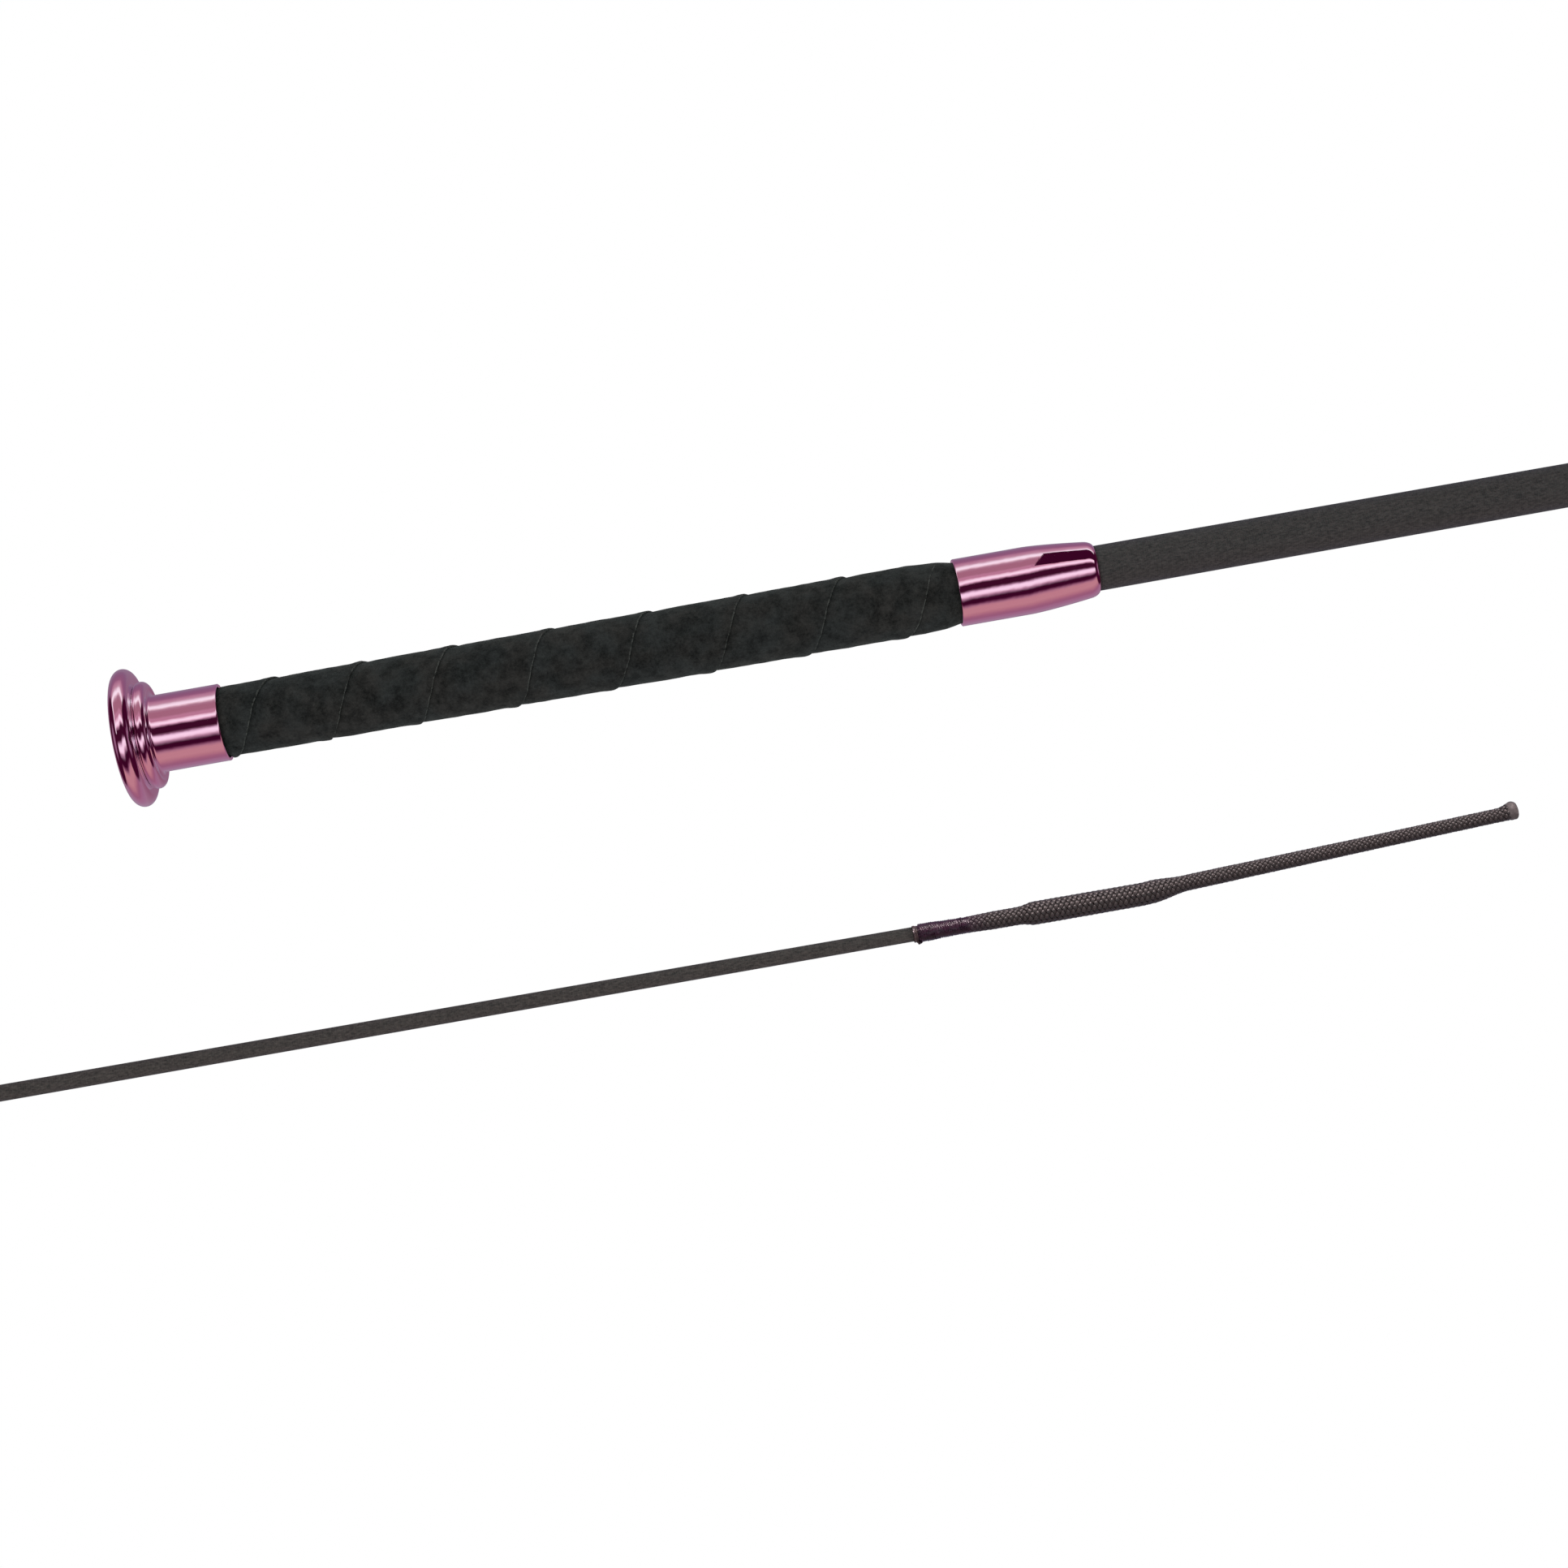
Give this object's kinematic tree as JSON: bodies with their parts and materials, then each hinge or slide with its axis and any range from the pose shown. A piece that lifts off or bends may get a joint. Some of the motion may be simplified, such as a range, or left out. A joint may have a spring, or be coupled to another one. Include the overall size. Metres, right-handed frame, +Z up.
{
  "type": "riding crop",
  "caption": "Long tapered riding crop with a mushroom butt cap, spiral suede grip, metal ferrule, flexible covered shaft and a plaited lash.",
  "frame": {"origin": "centre of the butt cap's flat end face", "axes": "+X along the whip from the butt cap to the lash, +Z up, Y across"},
  "size_m": [1.1, 0.0286, 0.0286],
  "materials": {
    "pink_chrome": "polished pink-tinted chrome",
    "suede_wrap": "black suede, matt nap",
    "black_plastic": "moulded",
    "grip_rubber": "moulded",
    "glass_fibre": "pultruded rod",
    "plaited_cover": "fine coated nylon plait, satin",
    "waxed_thread": "waxed thread, glossy",
    "lash_cord": "plaited cord"
  },
  "bodies": {
    "handle": {"butt_cap_head": "pink_chrome", "butt_cap_neck": "pink_chrome", "butt_cap_plug": "black_plastic", "grip_core": "grip_rubber", "grip_wrap": "suede_wrap", "ferrule_sleeve": "pink_chrome", "ferrule_bush": "black_plastic", "rod_01": "glass_fibre", "cover_01": "plaited_cover"},
    "shaft_02": {"rod_02": "glass_fibre", "cover_02": "plaited_cover"},
    "shaft_03": {"rod_03": "glass_fibre", "cover_03": "plaited_cover"},
    "shaft_04": {"rod_04": "glass_fibre", "cover_04": "plaited_cover"},
    "shaft_05": {"rod_05": "glass_fibre", "cover_05": "plaited_cover"},
    "shaft_06": {"rod_06": "glass_fibre", "cover_06": "plaited_cover"},
    "shaft_07": {"rod_07": "glass_fibre", "cover_07": "plaited_cover"},
    "shaft_08": {"rod_08": "glass_fibre", "cover_08": "plaited_cover"},
    "shaft_09": {"rod_09": "glass_fibre", "cover_09": "plaited_cover"},
    "shaft_10": {"rod_10": "glass_fibre", "cover_10": "plaited_cover"},
    "shaft_11": {"rod_11": "glass_fibre", "cover_11": "plaited_cover"},
    "shaft_12": {"rod_12": "glass_fibre", "cover_12": "plaited_cover"},
    "shaft_13": {"rod_13": "glass_fibre", "cover_13": "plaited_cover", "binding_thread": "waxed_thread", "lash_socket": "lash_cord", "lash_tail": "lash_cord"},
    "lash_1": {"lash_link_1": "lash_cord"},
    "lash_2": {"lash_link_2": "lash_cord"},
    "lash_3": {"lash_link_3": "lash_cord"},
    "lash_4": {"lash_link_4": "lash_cord"},
    "lash_5": {"lash_link_5": "lash_cord"},
    "lash_6": {"lash_link_6": "lash_cord"}
  },
  "joints": [
    {"name": "flex_side_1", "type": "hinge", "parent": "handle", "child": "shaft_02", "pos_m": [0.4, 0, 0], "axis": [0, 0, 1], "range_deg": [-3.5, 3.5], "stiffness_Nm_per_rad": 8},
    {"name": "flex_up_1", "type": "hinge", "parent": "shaft_02", "child": "shaft_03", "pos_m": [0.48, 0, 0], "axis": [0, -1, 0], "range_deg": [-3.5, 3.5], "stiffness_Nm_per_rad": 8},
    {"name": "flex_side_2", "type": "hinge", "parent": "shaft_03", "child": "shaft_04", "pos_m": [0.56, 0, 0], "axis": [0, 0, 1], "range_deg": [-3.5, 3.5]},
    {"name": "flex_up_2", "type": "hinge", "parent": "shaft_04", "child": "shaft_05", "pos_m": [0.61, 0, 0], "axis": [0, -1, 0], "range_deg": [-3.5, 3.5]},
    {"name": "flex_side_3", "type": "hinge", "parent": "shaft_05", "child": "shaft_06", "pos_m": [0.66, 0, 0], "axis": [0, 0, 1], "range_deg": [-3.5, 3.5]},
    {"name": "flex_up_3", "type": "hinge", "parent": "shaft_06", "child": "shaft_07", "pos_m": [0.7, 0, 0], "axis": [0, -1, 0], "range_deg": [-3.5, 3.5]},
    {"name": "flex_side_4", "type": "hinge", "parent": "shaft_07", "child": "shaft_08", "pos_m": [0.74, 0, 0], "axis": [0, 0, 1], "range_deg": [-3.5, 3.5]},
    {"name": "flex_up_4", "type": "hinge", "parent": "shaft_08", "child": "shaft_09", "pos_m": [0.776, 0, 0], "axis": [0, -1, 0], "range_deg": [-3.5, 3.5]},
    {"name": "flex_side_5", "type": "hinge", "parent": "shaft_09", "child": "shaft_10", "pos_m": [0.812, 0, 0], "axis": [0, 0, 1], "range_deg": [-3.5, 3.5]},
    {"name": "flex_up_5", "type": "hinge", "parent": "shaft_10", "child": "shaft_11", "pos_m": [0.848, 0, 0], "axis": [0, -1, 0], "range_deg": [-3.5, 3.5]},
    {"name": "flex_side_6", "type": "hinge", "parent": "shaft_11", "child": "shaft_12", "pos_m": [0.884, 0, 0], "axis": [0, 0, 1], "range_deg": [-3.5, 3.5]},
    {"name": "flex_up_6", "type": "hinge", "parent": "shaft_12", "child": "shaft_13", "pos_m": [0.922, 0, 0], "axis": [0, -1, 0], "range_deg": [-3.5, 3.5]},
    {"name": "lash_up_1", "type": "hinge", "parent": "shaft_13", "child": "lash_1", "pos_m": [1.0295, 0, 0.00035], "axis": [0, -1, 0], "range_deg": [-35, 35]},
    {"name": "lash_side_1", "type": "hinge", "parent": "lash_1", "child": "lash_2", "pos_m": [1.04125, 0, 0.00088], "axis": [-0.0454, 0, 0.999], "range_deg": [-35, 35]},
    {"name": "lash_up_2", "type": "hinge", "parent": "lash_2", "child": "lash_3", "pos_m": [1.053, 0, 0.00142], "axis": [0, -1, 0], "range_deg": [-35, 35]},
    {"name": "lash_side_2", "type": "hinge", "parent": "lash_3", "child": "lash_4", "pos_m": [1.06475, 0, 0.00195], "axis": [-0.0454, 0, 0.999], "range_deg": [-35, 35]},
    {"name": "lash_up_3", "type": "hinge", "parent": "lash_4", "child": "lash_5", "pos_m": [1.0765, 0, 0.00248], "axis": [0, -1, 0], "range_deg": [-35, 35]},
    {"name": "lash_side_3", "type": "hinge", "parent": "lash_5", "child": "lash_6", "pos_m": [1.08825, 0, 0.00302], "axis": [-0.0454, 0, 0.999], "range_deg": [-35, 35]}
  ],
  "couplings": [
    {"joint": "flex_side_2", "follows": "flex_side_1", "ratio": 1},
    {"joint": "flex_up_2", "follows": "flex_up_1", "ratio": 1},
    {"joint": "flex_side_3", "follows": "flex_side_1", "ratio": 1},
    {"joint": "flex_up_3", "follows": "flex_up_1", "ratio": 1},
    {"joint": "flex_side_4", "follows": "flex_side_1", "ratio": 1},
    {"joint": "flex_up_4", "follows": "flex_up_1", "ratio": 1},
    {"joint": "flex_side_5", "follows": "flex_side_1", "ratio": 1},
    {"joint": "flex_up_5", "follows": "flex_up_1", "ratio": 1},
    {"joint": "flex_side_6", "follows": "flex_side_1", "ratio": 1},
    {"joint": "flex_up_6", "follows": "flex_up_1", "ratio": 1},
    {"joint": "lash_up_2", "follows": "lash_up_1", "ratio": 1},
    {"joint": "lash_side_2", "follows": "lash_side_1", "ratio": 1},
    {"joint": "lash_up_3", "follows": "lash_up_1", "ratio": 1},
    {"joint": "lash_side_3", "follows": "lash_side_1", "ratio": 1}
  ]
}
